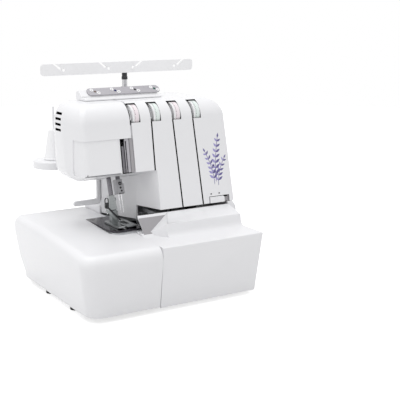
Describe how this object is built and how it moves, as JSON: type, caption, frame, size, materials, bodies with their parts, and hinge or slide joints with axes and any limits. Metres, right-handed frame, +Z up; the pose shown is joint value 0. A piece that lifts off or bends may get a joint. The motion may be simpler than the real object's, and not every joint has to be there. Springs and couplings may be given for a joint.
{
  "type": "overlock sewing machine",
  "caption": "Domestic overlock machine with a leaning white body, head over a needle plate, tension dials, sliding extension table, folding looper cover and telescopic thread stand.",
  "frame": {"origin": "centre of the bounding box on the floor, with the spool stand and the handwheel counted", "axes": "+X to the right as seen by the person sewing, +Y to the back, +Z up"},
  "size_m": [0.331, 0.3, 0.343],
  "materials": {
    "casing": "white moulded plastic, satin gloss",
    "trim": "light grey moulded plastic",
    "dark_plastic": "black moulded plastic",
    "rubber": "dull black rubber",
    "cast_aluminium": "as cast",
    "steel": "bright machined steel",
    "chrome": "polished",
    "dark_steel": "dark polished steel",
    "guide_steel": "dark violet grey, satin",
    "pink_dial": "pale pink tint, satin",
    "green_dial": "pale green tint, satin"
  },
  "bodies": {
    "machine": {"base_tray": "casing", "frame_casting": "cast_aluminium", "front_cover": "casing", "head_cover": "casing", "rear_cover": "casing", "side_cover": "casing", "needle_plate": "dark_steel", "needle_plate_screw": "dark_steel", "motor": "dark_steel", "drive_belt": "rubber", "lower_knife": "steel", "knife_holder": "cast_aluminium", "tension_axle": "chrome", "guide_holder": "casing", "thread_guide_plate": "guide_steel", "spool_stand": "casing", "stand_bracket": "steel", "spool_cone_1": "casing", "spool_cone_2": "casing", "spool_cone_3": "casing", "spool_cone_4": "casing", "mast_outer_tube": "steel", "power_inlet": "dark_plastic", "rubber_foot_1": "rubber", "rubber_foot_2": "rubber", "rubber_foot_3": "rubber", "rubber_foot_4": "rubber"},
    "table": {"extension_table": "casing"},
    "cover_pivot": {"cover_hinge_pin": "steel"},
    "cover": {"looper_cover": "casing"},
    "drive": {"main_shaft": "steel", "handwheel": "casing", "main_pulley": "cast_aluminium"},
    "motor_spindle": {"motor_pulley": "steel"},
    "needle_drive": {"needle_bar": "chrome", "needle_clamp": "steel", "left_needle": "chrome", "right_needle": "chrome", "take_up_lever": "chrome"},
    "presser": {"presser_bar": "steel", "presser_foot": "steel", "foot_lever": "dark_plastic"},
    "lifter": {"presser_lifter": "casing"},
    "lower_looper_arm": {"lower_looper": "steel"},
    "upper_looper_arm": {"upper_looper": "steel"},
    "upper_knife_arm": {"upper_knife": "dark_plastic"},
    "main_feed": {"main_feed_dog": "steel"},
    "differential_feed": {"differential_feed_dog": "steel"},
    "dial_1": {"tension_dial_1": "pink_dial"},
    "dial_2": {"tension_dial_2": "green_dial"},
    "dial_3": {"tension_dial_3": "pink_dial"},
    "dial_4": {"tension_dial_4": "green_dial"},
    "slider": {"front_slider": "trim"},
    "mast_middle": {"mast_middle_tube": "chrome"},
    "mast_inner": {"mast_inner_rod": "chrome"},
    "guide_bar": {"thread_guide_bar": "trim"},
    "stitch_dial": {"stitch_length_dial": "trim"},
    "feed_dial": {"differential_dial": "trim"},
    "rocker": {"power_rocker": "dark_plastic"}
  },
  "joints": [
    {"name": "table_slide", "type": "slide", "parent": "machine", "child": "table", "axis": [-1, 0, 0], "range_m": [0, 0.12]},
    {"name": "cover_shift", "type": "slide", "parent": "machine", "child": "cover_pivot", "axis": [1, 0, 0], "range_m": [0, 0.005]},
    {"name": "cover_fold", "type": "hinge", "parent": "cover_pivot", "child": "cover", "pos_m": [0.0345, -0.132, 0.012], "axis": [1, 0, 0], "range_deg": [0, 78]},
    {"name": "drive_turn", "type": "hinge", "parent": "machine", "child": "drive", "pos_m": [0.1445, 0.016, 0.092], "axis": [1, 0, 0], "continuous": true},
    {"name": "motor_turn", "type": "hinge", "parent": "machine", "child": "motor_spindle", "pos_m": [0.0785, 0.084, 0.0471], "axis": [1, 0, 0], "continuous": true},
    {"name": "needle_bar_slide", "type": "slide", "parent": "machine", "child": "needle_drive", "axis": [0, -0.2756, -0.9613], "range_m": [0, 0.027]},
    {"name": "lifter_turn", "type": "hinge", "parent": "machine", "child": "lifter", "pos_m": [-0.0535, 0.059, 0.206], "axis": [0, 1, 0], "range_deg": [0, 60]},
    {"name": "presser_slide", "type": "slide", "parent": "machine", "child": "presser", "axis": [0, 0.2756, 0.9613], "range_m": [0, 0.007]},
    {"name": "lower_looper_swing", "type": "hinge", "parent": "machine", "child": "lower_looper_arm", "pos_m": [-0.0475, -0.01, 0.05], "axis": [0, 1, 0], "range_deg": [-9, 9]},
    {"name": "upper_looper_swing", "type": "hinge", "parent": "machine", "child": "upper_looper_arm", "pos_m": [-0.0115, -0.015, 0.056], "axis": [0, 1, 0], "range_deg": [-8, 8]},
    {"name": "upper_knife_turn", "type": "hinge", "parent": "machine", "child": "upper_knife_arm", "pos_m": [-0.0155, -0.042, 0.119], "axis": [1, 0, 0], "range_deg": [0, 90]},
    {"name": "main_feed_slide", "type": "slide", "parent": "machine", "child": "main_feed", "axis": [0, 1, 0], "range_m": [-0.003, 0.003]},
    {"name": "differential_feed_slide", "type": "slide", "parent": "machine", "child": "differential_feed", "axis": [0, 1, 0], "range_m": [-0.003, 0.003]},
    {"name": "tension_dial_1_turn", "type": "hinge", "parent": "machine", "child": "dial_1", "pos_m": [-0.0269, -0.02215, 0.26765], "axis": [1, 0, 0], "range_deg": [-130, 130]},
    {"name": "tension_dial_2_turn", "type": "hinge", "parent": "machine", "child": "dial_2", "pos_m": [0.0081, -0.02215, 0.26765], "axis": [1, 0, 0], "range_deg": [-130, 130]},
    {"name": "tension_dial_3_turn", "type": "hinge", "parent": "machine", "child": "dial_3", "pos_m": [0.0431, -0.02215, 0.26765], "axis": [1, 0, 0], "range_deg": [-130, 130]},
    {"name": "tension_dial_4_turn", "type": "hinge", "parent": "machine", "child": "dial_4", "pos_m": [0.0781, -0.02215, 0.26765], "axis": [1, 0, 0], "range_deg": [-130, 130]},
    {"name": "front_slider_slide", "type": "slide", "parent": "machine", "child": "slider", "axis": [1, 0, 0], "range_m": [0, 0.008]},
    {"name": "mast_middle_slide", "type": "slide", "parent": "machine", "child": "mast_middle", "axis": [0, 0, 1], "range_m": [0, 0.09]},
    {"name": "mast_inner_slide", "type": "slide", "parent": "mast_middle", "child": "mast_inner", "axis": [0, 0, 1], "range_m": [0, 0.09]},
    {"name": "guide_bar_swivel", "type": "hinge", "parent": "mast_inner", "child": "guide_bar", "pos_m": [0.0215, 0.089, 0.334], "axis": [0, 0, 1], "range_deg": [-90, 90]},
    {"name": "stitch_length_turn", "type": "hinge", "parent": "machine", "child": "stitch_dial", "pos_m": [0.1365, -0.041, 0.112], "axis": [1, 0, 0], "range_deg": [-120, 120]},
    {"name": "differential_turn", "type": "hinge", "parent": "machine", "child": "feed_dial", "pos_m": [0.1365, -0.041, 0.076], "axis": [1, 0, 0], "range_deg": [-60, 60]},
    {"name": "power_rocker_tilt", "type": "hinge", "parent": "machine", "child": "rocker", "pos_m": [0.1307, -0.003, 0.034], "axis": [0, 1, 0], "range_deg": [-6, 6]}
  ],
  "couplings": [
    {"joint": "motor_turn", "follows": "drive_turn", "ratio": 2.8889},
    {"joint": "lifter_turn", "follows": "presser_slide", "rad_per_m": 149.45}
  ]
}
